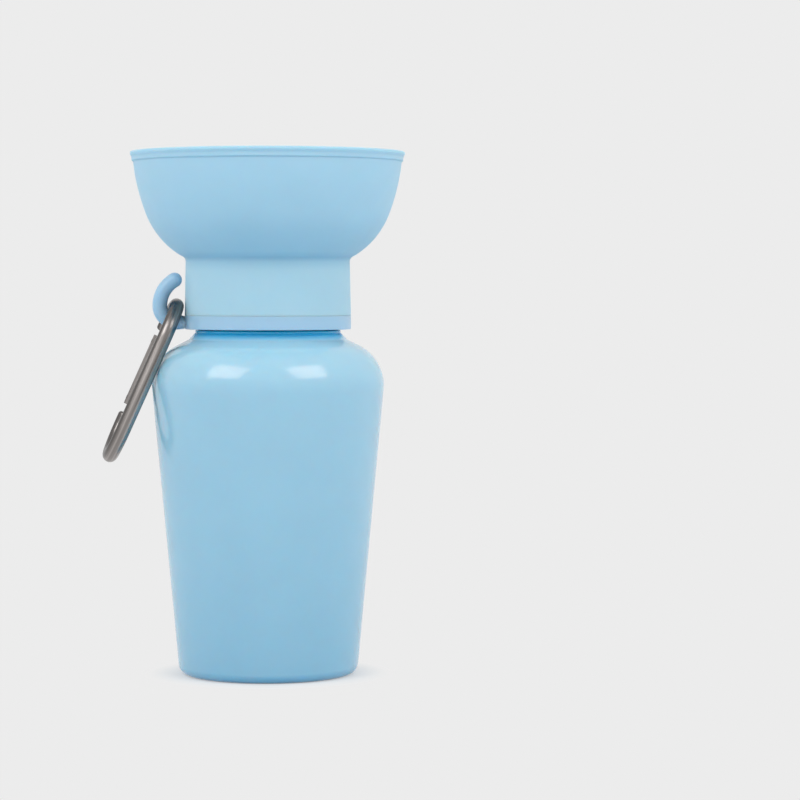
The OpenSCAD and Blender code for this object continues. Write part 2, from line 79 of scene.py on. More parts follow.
# %% Camera
focal_px = 2900  # focal length counted in pixels of a picture 800 wide
picture_px = 800
camera_data = bpy.data.cameras.new("camera")
camera_data.sensor_width = 36
camera_data.lens = focal_px * camera_data.sensor_width / picture_px
camera = bpy.data.objects.new("camera", camera_data)
bpy.context.scene.collection.objects.link(camera)
camera.location = (0, -1.102, 0.150)
axis_px, horizon_px = 268, 279  # where the bottle's axis and the eye level lie
yaw = math.atan((picture_px / 2 - axis_px) / focal_px)
tilt = math.atan((picture_px / 2 - horizon_px) / focal_px)
camera.rotation_euler = (math.pi / 2 - tilt, 0, -yaw)
bpy.context.scene.camera = camera
print("lens", round(camera_data.lens, 1), "mm, yaw", round(math.degrees(yaw), 2), "degrees")

# %% [markdown]
# ## The studio
# Two soft boxes stand in front, left and right, about 40 degrees up. Their places come from
# the two bright patches on the bottle's shoulder, worked back as mirror reflections. A pale
# world, brighter to the left and right, lights the sides of the bottle as strongly as its
# front. What the camera, a reflection or a clear surface sees behind the bottle is one light
# grey. The floor shows that grey too, and close to the base its own shadow. For the light
# that it sends back, the floor is painted darker and bluer close to the bottle, as painted
# shade and painted blue bounce light, so the lower body deepens towards the base as it does
# in the photograph.

# %% Nodes
def node(tree, kind, settings=None, **sockets):
    """Adds a shader node, with its settings and the values of its named input sockets."""
    made = tree.nodes.new("ShaderNode" + kind)
    for name, value in (settings or {}).items():
        setattr(made, name, value)
    for name, value in sockets.items():
        made.inputs[name.replace("_", " ")].default_value = value
    return made


def seen_directly(tree):
    """1 for rays that come from the camera, a reflection or a clear surface, otherwise 0."""
    rays = node(tree, "LightPath")
    total = rays.outputs["Is Camera Ray"]
    for name in ("Is Glossy Ray", "Is Transmission Ray"):
        more = node(tree, "Math", {"operation": "MAXIMUM"})
        tree.links.new(total, more.inputs[0])
        tree.links.new(rays.outputs[name], more.inputs[1])
        total = more.outputs[0]
    return total


def span(tree, value, low, high, bottom=0.3, top=0.7, smooth=False):
    """Carries a value's range, bottom to top, onto low to high. Left out, the range is the one
    that noise mostly fills."""
    kind = {"interpolation_type": "SMOOTHSTEP"} if smooth else {}
    made = node(tree, "MapRange", kind, From_Min=bottom, From_Max=top, To_Min=low, To_Max=high)
    tree.links.new(value, made.inputs["Value"])
    return made.outputs["Result"]


def blended(tree, value, colour_a, colour_b):
    """A colour that goes from one to another as the value goes from 0 to 1. Each is three
    numbers or the output of another node."""
    made = node(tree, "Mix", {"data_type": "RGBA"})
    for socket, colour in ((made.inputs[6], colour_a), (made.inputs[7], colour_b)):
        if hasattr(colour, "is_output"):
            tree.links.new(colour, socket)
        else:
            socket.default_value = (*colour, 1)
    tree.links.new(value, made.inputs[0])
    return made.outputs[2]


# %% World
backdrop_grey = (0.839, 0.839, 0.839, 1)
world = bpy.data.worlds.new("studio")
bpy.context.scene.world = world
world.use_nodes = True
tree = world.node_tree
tree.nodes.clear()
way = node(tree, "TexCoord")
xyz = node(tree, "SeparateXYZ")
sideways = node(tree, "Math", {"operation": "ABSOLUTE"})
fill = node(tree, "Background", Color=(0.97, 0.985, 1, 1))
seen = node(tree, "Background", Color=backdrop_grey)
pick = node(tree, "MixShader")
tree.links.new(way.outputs["Generated"], xyz.inputs[0])
tree.links.new(xyz.outputs["X"], sideways.inputs[0])
front_fill, side_fill = 0.70, 1.00
strength = span(tree, sideways.outputs[0], front_fill, side_fill,
                bottom=0.2, top=0.95, smooth=True)
tree.links.new(strength, fill.inputs["Strength"])
tree.links.new(seen_directly(tree), pick.inputs["Fac"])
tree.links.new(fill.outputs[0], pick.inputs[1])
tree.links.new(seen.outputs[0], pick.inputs[2])
tree.links.new(pick.outputs[0], node(tree, "OutputWorld").inputs["Surface"])
bpy.context.scene.view_settings.view_transform = "Standard"

# %% Floor
floor_half = 3.0
floor_data = bpy.data.meshes.new("floor")
corner = np.array([[-1, -1, 0], [1, -1, 0], [1, 1, 0], [-1, 1, 0]], float) * floor_half
floor_data.from_pydata(corner.tolist(), [], [[0, 1, 2, 3]])
floor = bpy.data.objects.new("floor", floor_data)
bpy.context.scene.collection.objects.link(floor)
floor_paint = bpy.data.materials.new("floor_paint")
floor_paint.use_nodes = True
tree = floor_paint.node_tree
tree.nodes.clear()
way = node(tree, "TexCoord")
reach = node(tree, "VectorMath", {"operation": "LENGTH"})
tree.links.new(way.outputs["Object"], reach.inputs[0])
paint = node(tree, "BsdfDiffuse")
# painted shade and painted bounce light: the colour the floor sends back is painted darker and
# bluer close to the bottle, paler far off
near_painted_shade, far_tint = (0.14, 0.47, 0.66), (0.64, 0.76, 0.87)
far = span(tree, reach.outputs["Value"], 0, 1, bottom=0.04, top=0.24, smooth=True)
tree.links.new(blended(tree, far, near_painted_shade, far_tint), paint.inputs["Color"])
shaded = node(tree, "BsdfDiffuse", Color=(0.80, 0.80, 0.80, 1))
glow = node(tree, "Emission", Color=backdrop_grey)
seen_floor = node(tree, "MixShader")
pick = node(tree, "MixShader")
shadow = span(tree, reach.outputs["Value"], 0.55, 0.0, bottom=0.033, top=0.047, smooth=True)
tree.links.new(shadow, seen_floor.inputs["Fac"])
tree.links.new(glow.outputs[0], seen_floor.inputs[1])
tree.links.new(shaded.outputs[0], seen_floor.inputs[2])
tree.links.new(seen_directly(tree), pick.inputs["Fac"])
tree.links.new(paint.outputs[0], pick.inputs[1])
tree.links.new(seen_floor.outputs[0], pick.inputs[2])
tree.links.new(pick.outputs[0], node(tree, "OutputMaterial").inputs["Surface"])
floor_data.materials.append(floor_paint)


# %% Soft boxes
shoulder = Vector((0, 0, 0.11))


def soft_box(name, direction, distance=0.9, size=(0.52, 0.47), radiance=3.3):
    """A rectangular lamp that faces the shoulder. Its power is radiance x pi x area, so radiance
    1 is as bright as a fully lit white sheet."""
    data = bpy.data.lights.new(name, "AREA")
    data.shape = "RECTANGLE"
    data.size, data.size_y = size
    data.energy = radiance * math.pi * size[0] * size[1]
    lamp = bpy.data.objects.new(name, data)
    bpy.context.scene.collection.objects.link(lamp)
    toward = Vector(direction).normalized()
    lamp.location = shoulder + distance * toward
    lamp.rotation_euler = toward.to_track_quat("Z", "Y").to_euler()
    print(name, "power", round(data.energy, 2), "W")


soft_box("soft_box_left", (-0.590, -0.534, 0.6235))
soft_box("soft_box_right", (0.580, -0.550, 0.6235))

# %% [markdown]
# ## Shapes as arrays
# Almost every piece of this bottle is turned or bent from a rod, so two kinds of surface are
# enough. A turned surface carries an outline of (r, z) points round the axis. A swept surface
# carries a ring along a path. Blender's Screw modifier and a bevelled curve could make both,
# but a grid of points can be changed at single places, as the grooves, the mould's lines and
# the hook's root need. The grids are worked out as whole arrays, and one helper turns a grid
# into a closed skin whose faces point outwards.


# %% Outlines with rounded corners
def rounded(corners, steps=6, guard=0.3, closed=True):
    """Outline through corners (r, z, radius). At each corner an arc touches both edges, on less
    than half of either; its centre lies on the corner's bisector, radius / sin(half the angle)
    away. A guard point just past each end of the arc keeps the edges flat where they are shaded
    smooth."""
    points = np.array([c[:2] for c in corners], float)
    count, outline, share = len(points), [], 0.48
    for i, (r, z, radius) in enumerate(corners):
        here = np.array([r, z], float)
        if radius == 0 or (not closed and i in (0, count - 1)):
            outline.append(here)
            continue
        back, on = points[i - 1] - here, points[(i + 1) % count] - here
        back_l, on_l = np.linalg.norm(back), np.linalg.norm(on)
        back, on = back / back_l, on / on_l
        half = math.acos(max(-1, min(1, float(back @ on)))) / 2
        reach = min(radius / math.tan(half), share * back_l, share * on_l)
        radius = reach * math.tan(half)
        middle = here + (back + on) / np.linalg.norm(back + on) * radius / math.sin(half)
        start, end = here + back * reach - middle, here + on * reach - middle
        a0, a1 = math.atan2(start[1], start[0]), math.atan2(end[1], end[0])
        turn = (a1 - a0 + math.pi) % (2 * math.pi) - math.pi
        a = a0 + turn * np.linspace(0, 1, steps + 1)
        if reach + guard < 0.5 * back_l:
            outline.append(here + back * (reach + guard))
        outline.extend(middle + radius * np.stack([np.cos(a), np.sin(a)], -1))
        if reach + guard < 0.5 * on_l:
            outline.append(here + on * (reach + guard))
    return np.array(outline)


def arc(centre, radius, start, end, steps):
    """Points on a circle's arc: centre + radius (cos a, sin a), a in degrees."""
    a = np.radians(np.linspace(start, end, steps + 1))
    return np.array(centre) + radius * np.stack([np.cos(a), np.sin(a)], -1)


def plain(points):
    """Points of an arc as corners that need no rounding."""
    return [(p[0], p[1], 0) for p in points]


def evened(outline, step, closed):
    """The outline with points added, so that no stretch is longer than step."""
    ends = np.roll(outline, -1, axis=0) if closed else outline[1:]
    starts = outline if closed else outline[:-1]
    counts = np.ceil(np.linalg.norm(ends - starts, axis=1) / step).astype(int).clip(1)
    pieces = [a + (b - a) * np.arange(n)[:, None] / n for a, b, n in zip(starts, ends, counts)]
    return np.concatenate(pieces + ([] if closed else [outline[-1:]]))


# %% Turned and swept grids
def revolve(outline, angles):
    """The point at outline place i and angle a is (r_i cos a, r_i sin a, z_i)."""
    r, z = outline[:, :1], outline[:, 1:]
    return np.stack([r * np.cos(angles), r * np.sin(angles), z + 0 * angles], -1)


def sweep(path, across, along_b, b, sides=40):
    """A ring carried along a flat path. b is the unit normal of the path's plane, t the path's
    direction and n = b x t. The point at place s and angle a is
    path(s) + across(s) cos a n(s) + along_b(s) sin a b."""
    t = np.gradient(path, axis=0)
    t /= np.linalg.norm(t, axis=1, keepdims=True)
    n = np.cross(b, t)
    a = np.linspace(0, 2 * math.pi, sides, endpoint=False)[None, :, None]
    return (
        path[:, None]
        + (across[:, None, None] * np.cos(a)) * n[:, None]
        + (along_b[:, None, None] * np.sin(a)) * np.array(b)
    )


# %% Skins
def skin(grid, loop=False):
    """Vertices and faces of a grid (rows, columns, 3) whose columns close round. The rows close
    too if loop is true; otherwise each end is shut by a fan of triangles round its middle."""
    rows, columns = grid.shape[:2]
    index = np.arange(rows * columns).reshape(rows, columns)
    beside = np.roll(index, -1, axis=1)
    below, beside_below = np.roll(index, -1, axis=0), np.roll(beside, -1, axis=0)
    quads = np.stack([index, beside, beside_below, below], -1)
    quads = quads if loop else quads[:-1]
    verts, faces = grid.reshape(-1, 3), [quads.reshape(-1, 4)]
    if not loop:
        poles = np.stack([grid[0].mean(0), grid[-1].mean(0)])
        first, last = np.full(columns, len(verts)), np.full(columns, len(verts) + 1)
        verts = np.concatenate([verts, poles])
        faces.append(np.stack([first, beside[0], index[0]], -1))
        faces.append(np.stack([last, index[-1], beside[-1]], -1))
    return verts, faces


def outward(verts, faces):
    """Turns every face round if the skin's signed volume, the sum of v0 . (v1 x v2) / 6 over its
    triangles, is below zero. Gives the faces and the volume."""
    volume = sum(
        np.einsum("ij,ij->i", verts[f[:, 0]], np.cross(verts[f[:, k]], verts[f[:, k + 1]])).sum()
        for f in faces for k in range(1, f.shape[1] - 1)
    ) / 6
    return [f[:, ::-1] for f in faces] if volume < 0 else faces, abs(volume)


def piece(name, skins, body, material, nodes, blend=None):
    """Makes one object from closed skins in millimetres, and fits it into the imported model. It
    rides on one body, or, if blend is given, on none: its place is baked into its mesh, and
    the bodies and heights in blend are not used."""
    verts, faces, volume, count = [], [], 0, 0
    for v, f in skins:
        f, amount = outward(v, f)
        faces += [(one + count).tolist() for one in f]
        verts.append(v)
        count, volume = count + len(v), volume + amount
    data = bpy.data.meshes.new(name)
    data.from_pydata((np.concatenate(verts) * MM).tolist(), [], [q for f in faces for q in f])
    data.polygons.foreach_set("use_smooth", np.ones(len(data.polygons), bool))
    data.materials.append(material)
    made = bpy.data.objects.new(name, data)
    bpy.context.scene.collection.objects.link(made)
    if blend:
        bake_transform(made)
    else:
        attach(made, body)
    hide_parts(*nodes)
    print(f"{name}: {len(data.polygons)} faces, {volume / 1000:.2f} cm3, stands for {nodes}")
    return made


# %% [markdown]
# ## Finishes
# Three pale blue plastics lie side by side. The bottle is a soft polyethylene with a clean
# gloss, the lid and the stopper are a harder plastic with a satin gloss, and the silicone is
# almost matt. Each is a Principled shader. One plain colour could do, but a real moulding is
# never quite even, so the colour drifts a little, faint handling marks break the gloss, and
# the surface has the fine waviness of its mould. Two places are painted a darker colour as
# painted shade: the band round the bottle's neck, under the lid's collar, and the bowl's root
# with the sleeve's top, under the bowl. All patterns read Object coordinates or a piece's own
# attribute, so they stay on the piece when it moves.


# %% Helpers for finishes
def finish(name, **sockets):
    """A new Principled material, its plain numbers and colours set on the shader itself."""
    made = bpy.data.materials.new(name)
    made.use_nodes = True
    shader = made.node_tree.nodes["Principled BSDF"]
    for socket, value in sockets.items():
        shader.inputs[socket.replace("_", " ")].default_value = value
    return made, made.node_tree, shader


def pattern(tree, scale, detail, long=1, turn=(0, 0, 0), attribute=None):
    """Noise on Object coordinates, or on a piece's own attribute. A scale of 1000 has patches
    about a millimetre wide. Along z, once it is turned, they are long times as long."""
    if attribute:
        where = node(tree, "Attribute", {"attribute_name": attribute}).outputs["Vector"]
    else:
        where = node(tree, "TexCoord").outputs["Object"]
    place = node(tree, "Mapping", {"vector_type": "TEXTURE"}, Scale=(1, 1, long), Rotation=turn)
    made = node(tree, "TexNoise", Scale=scale, Detail=detail)
    tree.links.new(where, place.inputs["Vector"])
    tree.links.new(place.outputs["Vector"], made.inputs["Vector"])
    return made.outputs["Fac"]


def relief(tree, shader, layers):
    """Bumps in layers of (pattern, height in millimetres), each on top of the last."""
    normal = None
    for value, height in layers:
        made = node(tree, "Bump", Strength=1, Distance=height * MM)
        tree.links.new(value, made.inputs["Height"])
        if normal:
            tree.links.new(normal, made.inputs["Normal"])
        normal = made.outputs["Normal"]
    tree.links.new(normal, shader.inputs["Normal"])


def moulded(name, colour, gloss, peel, grain, thick=None, **sockets):
    """Moulded plastic: gloss is (low, high) roughness, peel the height in millimetres of the
    slow waviness and grain that of the fine one. thick is a band painted a darker colour as
    painted shade, where another part shades it: (low z, high z, softness, colour), in metres."""
    made, tree, shader = finish(name, **sockets)
    colour, drift = np.array(colour), 0.012
    patches = span(tree, pattern(tree, scale=60, detail=3), 0, 1)
    tone = blended(tree, patches, colour * (1 - drift), colour * (1 + drift))
    # thick paints a band a darker colour: painted shade where another part shades the surface
    if thick:
        low, high, soft, painted_shade_colour = thick
        xyz = node(tree, "SeparateXYZ")
        tree.links.new(node(tree, "TexCoord").outputs["Object"], xyz.inputs[0])
        rise = span(tree, xyz.outputs["Z"], 0, 1, low - soft, low + soft)
        fall = span(tree, xyz.outputs["Z"], 1, 0, high - soft / 2, high + soft / 2)
        both = node(tree, "Math", {"operation": "MULTIPLY"})
        tree.links.new(rise, both.inputs[0])
        tree.links.new(fall, both.inputs[1])
        tone = blended(tree, both.outputs[0], tone, painted_shade_colour)
    tree.links.new(tone, shader.inputs["Base Color"])
    marks = pattern(tree, scale=180, detail=4)
    tree.links.new(span(tree, marks, *gloss), shader.inputs["Roughness"])
    relief(tree, shader, [(pattern(tree, scale=220, detail=1), peel),
                          (pattern(tree, scale=2600, detail=2), grain)])
    return made


# %% Plastics
# painted shade: the band round the neck, under the lid's collar, is painted a dark saturated blue
# where the collar shades it
neck_painted_shade = (0.1283, 0.1320, 0.0013, (0.016, 0.54, 0.92))
# painted shade: the sleeve's top and the bowl's root, under the bowl, are painted darker where the
# bowl shades them
bowl_root_painted_shade = (0.1555, 0.1590, 0.0022, (0.305, 0.525, 0.645))
bottle_finish = moulded(
    "bottle_polyethylene", (0.350, 0.595, 0.745), gloss=(0.14, 0.18), peel=0.004, grain=0.0003,
    thick=neck_painted_shade, Specular_IOR_Level=0.8, Specular_Tint=(1, 0.70, 0.52, 1),
    Subsurface_Weight=0.8, Subsurface_Radius=(0.3, 0.8, 1.0), Subsurface_Scale=0.004)
lid_finish = moulded(
    "lid_polypropylene", (0.350, 0.534, 0.675), gloss=(0.28, 0.36), peel=0.005, grain=0.0006,
    Specular_IOR_Level=0.5,
    Subsurface_Weight=0.5, Subsurface_Radius=(0.3, 0.75, 1.0), Subsurface_Scale=0.0025)
silicone_finish = moulded(
    "silicone_blue", (0.384, 0.586, 0.678), gloss=(0.50, 0.60), peel=0.006, grain=0.0012,
    thick=bowl_root_painted_shade, Specular_IOR_Level=0.45, Sheen_Weight=0.06, Sheen_Roughness=0.4,
    Subsurface_Weight=0.6, Subsurface_Radius=(0.3, 0.75, 1.0), Subsurface_Scale=0.003)
seal_finish = moulded(
    "seal_silicone", (0.80, 0.82, 0.80), gloss=(0.35, 0.45), peel=0.004, grain=0.0010,
    Subsurface_Weight=0.2, Subsurface_Scale=0.002)
tube_finish = moulded(
    "tube_polyethylene", (0.72, 0.79, 0.83), gloss=(0.30, 0.40), peel=0.002, grain=0.0006)
print("plastics:", [m.name for m in (bottle_finish, lid_finish, silicone_finish)])

# %% [markdown]
# The carabiner is bent from metal wire that was tumbled, not polished. It is grey with a soft
# gloss, and drawing marks run along the wire as light and dark streaks. Noise stretched along
# one axis serves the straight gate and its small parts, once it leans as the carabiner does.
# On the bent body it would run across the bends, so there the streaks follow an attribute,
# wire_place, that holds the point of the wire's section and the length along it. A second
# attribute, rubbed, holds painted light and shade: it is high along painted highlights, and
# low, as painted shade, on the wire's outer flank and in the top bend, which the hook shades.

# %% Metal
lean, twist = math.radians(24.2), math.radians(5)
# unrubbed is how dark the painted shade makes the wire
dull, bright, painted_shade_level = 0.50, 1.55, 0.28


def wire_metal(name, colour, gloss, bent=False):
    """Drawn wire. Its streaks are about 1.5 millimetres wide and 35 times as long. They go from
    dull to bright, and on a bent wire painted shade makes it darker still where rubbed is low."""
    made, tree, shader = finish(name, Metallic=1.0)
    way = {"attribute": "wire_place"} if bent else {"turn": (0, lean, 0)}
    lines = pattern(tree, scale=640, detail=1, long=35, **way)
    fine = pattern(tree, scale=2600, detail=2, long=35, **way)
    colour = np.array(colour)
    streak = span(tree, lines, 0, 1, bottom=0.38, top=0.64)
    tone = blended(tree, streak, colour * dull, colour * bright)
    # painted light and shade from the attribute rubbed: painted shade where it is low, painted
    # highlights where it is high
    if bent:
        painted_light_shade = node(tree, "Attribute", {"attribute_name": "painted_light_shade"}).outputs["Fac"]
        tone = blended(tree, painted_light_shade, colour * painted_shade_level, tone)
    tree.links.new(tone, shader.inputs["Base Color"])
    tree.links.new(span(tree, lines, *gloss), shader.inputs["Roughness"])
    relief(tree, shader, [(lines, 0.02), (fine, 0.002)])
    return made


wire_gloss = (0.22, 0.36)
wire_finish = wire_metal("drawn_wire", (0.345, 0.319, 0.306), wire_gloss, bent=True)
gate_finish = wire_metal("gate_metal", (0.192, 0.178, 0.171), wire_gloss)
pin_finish = wire_metal("pin_steel", (0.13, 0.125, 0.12), (0.30, 0.42))
spring_finish = wire_metal("spring_steel", (0.42, 0.41, 0.40), (0.22, 0.34))

# %% [markdown]
# ## The bottle
# The body is blown in a mould: a straight side that widens upwards, a full round shoulder and
# a short neck with three thread lugs. At the neck's foot a plain band runs out into the
# shoulder in a soft slope, and the base has a shallow dish and a groove round it. A Solidify
# modifier could give a single skin its wall, but the inside has no band, dish or groove, so
# one turned outline runs up the outside, over the lip and down the inside. The mould's two
# halves leave a faint raised line on each side, where the radius grows by a few hundredths of
# a millimetre. The front is left bare.

# %% Bottle sizes
base_r, body_r, body_h, base_round, shoulder_round = 33.8, 43.9, 108.0, 4.0, 17.0
slope, wall, neck_r, neck_wall = math.radians(24.1), 1.6, 25.0, 1.8
band_r, band_h = neck_r + 2.6, 2.7
foot_r = band_r + 2.4
dish_r, dish_h = 14.0, 0.5
groove_in_r, groove_out_r, groove_d = 20.0, 23.0, 0.6
lip_z = node_mm("bottle_body")[1][2]
side_lean = math.atan((body_r - base_r) / body_h)
base_c = np.array([base_r - base_round * (1 - math.sin(side_lean)) / math.cos(side_lean),
                   base_round])
shoulder_c = np.array([body_r - shoulder_round * math.cos(side_lean),
                       body_h + shoulder_round * math.sin(side_lean)])
cone_a = 90 - math.degrees(slope)
lean_a = math.degrees(side_lean)
cone_start = shoulder_c + shoulder_round * np.array([math.sin(slope), math.cos(slope)])


def cone_z(r, sunk=0.0):
    """Height of the shoulder's cone at radius r, for a surface sunk below the outside."""
    return cone_start[1] - (sunk + math.sin(slope) * (r - cone_start[0])) / math.cos(slope)


band_z = cone_z(band_r) + band_h
print("the lip is at", round(float(lip_z), 3), "mm and the band's top at", round(band_z, 3))

# %% Bottle outline
neck_in_r = neck_r - neck_wall
outside = (
    [(0, dish_h, 0), (dish_r, dish_h, 6), (groove_in_r - 0.4, 0, 3), (groove_in_r, 0, 0.2),
     (groove_in_r, groove_d, 0.2), (groove_out_r, groove_d, 0.2), (groove_out_r, 0, 0.2)]
    + plain(arc(base_c, base_round, -90, -lean_a, 14))
    + plain(arc(shoulder_c, shoulder_round, -lean_a, cone_a, 26))
    + [(foot_r, cone_z(foot_r) + 0.2, 2.2), (band_r, band_z - 1.0, 0.9), (band_r, band_z, 0.4),
       (neck_r, band_z, 0.4), (neck_r, lip_z, 0.5), (neck_in_r, lip_z, 0.5)]
)
inside = (
    [(neck_in_r, cone_z(neck_in_r, wall), 2.0)]
    + plain(arc(shoulder_c, shoulder_round - wall, cone_a, -lean_a, 16))
    + plain(arc(base_c, base_round - wall, -lean_a, -90, 8))
    + [(0, wall, 0)]
)
bottle_outline = evened(rounded(outside + inside, closed=False), step=4.5, closed=False)
is_outside = np.arange(len(bottle_outline)) < int(np.argmax(bottle_outline[:, 1]))
print("outline points:", len(bottle_outline))

# %% Parting lines of the mould
line_offsets = np.array([-0.9, -0.5, -0.3, -0.15, 0, 0.15, 0.3, 0.5, 0.9]) / body_r
angles = np.linspace(0, 2 * math.pi, 160, endpoint=False) + math.pi / 160
angles = np.sort(np.concatenate([angles, line_offsets % (2 * math.pi), line_offsets + math.pi]))


def off_line(a, r):
    """Distance round the bottle, in millimetres, from the nearer parting line at 0 or 180."""
    return r * np.abs((a + math.pi / 2) % math.pi - math.pi / 2)


line_height, line_width, line_from_r = 0.05, 0.22, band_r + 0.4
outline_r = bottle_outline[:, :1]
ridge = line_height * np.exp(-(off_line(angles, outline_r) / line_width) ** 2)
grid = revolve(bottle_outline, angles)
grown = np.where(is_outside[:, None] & (outline_r > line_from_r), ridge, 0)
grid[..., 0] += grown * np.cos(angles)
grid[..., 1] += grown * np.sin(angles)
bottle_skin = skin(grid)


# %% [markdown]
# The thread lugs are short pieces of a helix. A Screw modifier could wind them, but would cut
# them off square. Here their height is next to nothing at both ends and full over the middle,
# so they start and stop softly, as on a moulded thread.


# %% Thread lugs
def lug(middle_deg, span_deg, root_r, tip_r, root_h, tip_h, lead, z):
    """One lug. Its section is root_h high at root_r and tip_h high at tip_r, with an eased tip.
    At angle a from the middle it stands at z + lead a / 360, and e(a), which rises from 0 to 1
    over the first and last eighth, scales the section's depth and height."""
    steps = 48
    u = np.linspace(-1, 1, steps + 1)
    e = np.clip((1 - np.abs(u)) / 0.25, 0, 1)
    e = np.sqrt(np.clip(1 - (1 - e) ** 2, 0.0004, 1))
    a = np.radians(middle_deg + u * span_deg / 2)
    across = np.array([0, 0.75, 1.0, 1.0, 0.75, 0])
    upward = np.array([-root_h, -(0.75 * tip_h + 0.25 * root_h), -0.7 * tip_h,
                       0.7 * tip_h, 0.75 * tip_h + 0.25 * root_h, root_h]) / 2
    r = root_r + (tip_r - root_r) * across[None, :] * e[:, None]
    height = z + lead * u[:, None] * span_deg / 720 + upward[None, :] * e[:, None]
    return skin(np.stack([r * np.cos(a)[:, None], r * np.sin(a)[:, None], height], -1))


def lugs(starts, *sizes):
    """One lug for each start of a thread, at even steps round the axis."""
    return [lug(k * 360 / starts, *sizes) for k in range(starts)]


lid_lead, lid_starts, lug_drop = 12.0, 3, 8.0
lug_span, lug_root_h, lug_tip_h = 80, 1.9, 1.1
thread_depth, thread_gap, skirt_wall = 1.4, 0.5, 2.3
lid_in_r = neck_r + thread_depth + thread_gap
neck_lugs = lugs(lid_starts, lug_span, neck_r - 0.3, neck_r + thread_depth,
                 lug_root_h, lug_tip_h, lid_lead, lip_z - lug_drop)
piece("bottle", [bottle_skin] + neck_lugs, "bottle", bottle_finish, ["bottle_body"])

# %% [markdown]
# ## The lid
# The lid is one hard moulding: a collar band below, a skirt with a groove that keys the
# silicone, a deck, the well that takes the stopper, a nozzle and the socket of the dip tube.
# All of that is one turned skin. The hook on its side is a rod bent in one plane, flattened
# and widened where it runs into the collar. A Boolean modifier could join the two, but the
# hook's root ends unseen inside the collar, and apart both grids keep their clean faces.

# %% Lid sizes
lid_gap, collar_h, deck_t, gasket_t, gasket_gap = 0.4, 5.2, 2.5, 1.5, 0.3
lid_z0, deck_under_z = band_z + lid_gap, lip_z + gasket_gap + gasket_t
deck_z, collar_z, skirt_r = deck_under_z + deck_t, lid_z0 + collar_h, lid_in_r + skirt_wall
sleeve_fit, sleeve_wall, collar_proud, seam_gap = 0.1, 2.0, 0.2, 0.3
sleeve_in_r = skirt_r + sleeve_fit
sleeve_r = sleeve_in_r + sleeve_wall
collar_r = sleeve_r + collar_proud
bead_h, bead_d = 1.6, 0.6
bead_z = collar_z + seam_gap + bead_h
key_r, key_z, key_top_z = skirt_r - bead_d - 0.1, bead_z - 0.1, bead_z + bead_h + 0.1
well_r, well_wall, well_depth = 13.0, 1.8, 13.5
well_out_r, well_z = well_r + well_wall, deck_z - well_depth
well_under_z = well_z - well_wall
nozzle_r, nozzle_wall, nozzle_h = 2.6, 1.8, 1.5
nozzle_out_r, nozzle_z = nozzle_r + nozzle_wall, well_z + nozzle_h
socket_r, socket_wall, socket_h = 4.05, 1.6, 8.0
socket_out_r, socket_z = socket_r + socket_wall, well_under_z - socket_h
print("lid from", round(float(lid_z0), 3), "packed", node_mm("lid_shell")[0][2].round(3))

# %% Lid skin
lid_corners = [
    (lid_in_r, lid_z0, 0.3), (collar_r, lid_z0, 0.45), (collar_r, collar_z, 0.12),
    (skirt_r, collar_z, 0.1), (skirt_r, key_z, 0.15), (key_r, key_z, 0.15),
    (key_r, key_top_z, 0.15), (skirt_r, key_top_z, 0.15), (skirt_r, deck_z, 0.4),
    (well_r, deck_z, 0.35), (well_r, well_z, 0.8), (nozzle_out_r, well_z, 0.3),
    (nozzle_out_r, nozzle_z, 0.35), (nozzle_r, nozzle_z, 0.35), (nozzle_r, well_under_z, 0.1),
    (socket_r, well_under_z, 0.1), (socket_r, socket_z, 0.25), (socket_out_r, socket_z, 0.25),
    (socket_out_r, well_under_z, 0.5), (well_out_r, well_under_z, 0.6),
    (well_out_r, deck_under_z, 0.6), (lid_in_r, deck_under_z, 0.5),
]
round_angles = np.linspace(0, 2 * math.pi, 160, endpoint=False)
lid_outline = evened(rounded(lid_corners, steps=4), step=4.0, closed=True)
lid_skin = skin(revolve(lid_outline, round_angles), loop=True)
lid_lugs = lugs(lid_starts, lug_span, lid_in_r + 0.4, lid_in_r - thread_depth, lug_root_h,
                lug_tip_h, lid_lead, lip_z - lug_drop - lid_lead / lid_starts / 2)
stopper_lead, stopper_starts, stopper_lug_z = 6.0, 2, deck_z - 6.3
stopper_lug_root_h, stopper_lug_tip_h, well_lug_span = 1.4, 0.8, 110
well_lugs = lugs(stopper_starts, well_lug_span, well_r + 0.4, well_r - thread_depth,
                 stopper_lug_root_h, stopper_lug_tip_h, stopper_lead, stopper_lug_z)

# %% Hook
hook_rod_r, hook_curve_r, hook_curve_deg, rod_r = 2.8, 11.2, 60, 2.75
seat_gap, sleeve_gap, hook_root_z = 0.75, 0.35, lid_z0 + collar_h / 2
seat_r = hook_rod_r + rod_r + seat_gap
hang_x, hang_z = -(collar_r + rod_r + sleeve_gap), hook_root_z + seat_r
root_x = -(skirt_r + 0.8)
straight = np.stack([np.linspace(root_x, hang_x, 14)[:-1], np.full(13, hook_root_z)], -1)
seat = arc((hang_x, hang_z), seat_r, 270, 180, 20)[:-1]
curve_c = (hang_x - seat_r + hook_curve_r, hang_z)
upper = arc(curve_c, hook_curve_r, 180, 180 - hook_curve_deg, 26)
tip_turn = math.radians(90 - hook_curve_deg)
tip_way = np.array([math.cos(tip_turn), math.sin(tip_turn)])
tip_l = 0.999 * hook_rod_r  # the hook's last ring is all but a point
tip_steps = np.sin(np.linspace(0, math.pi / 2, 12))[1:] * tip_l
flat_path = np.concatenate([straight, seat, upper, upper[-1] + tip_steps[:, None] * tip_way])
path = np.stack([flat_path[:, 0], 0 * flat_path[:, 0], flat_path[:, 1]], -1)
thick = np.full(len(path), hook_rod_r)
thick[-len(tip_steps):] = np.sqrt(hook_rod_r**2 - tip_steps**2)
flare_l, flare_w, flattened = 3.0, 2.6, 0.35
from_collar = np.clip((-collar_r - path[:, 0]) / flare_l, 0, 1)
at_root = path[:, 2] < hang_z - 2
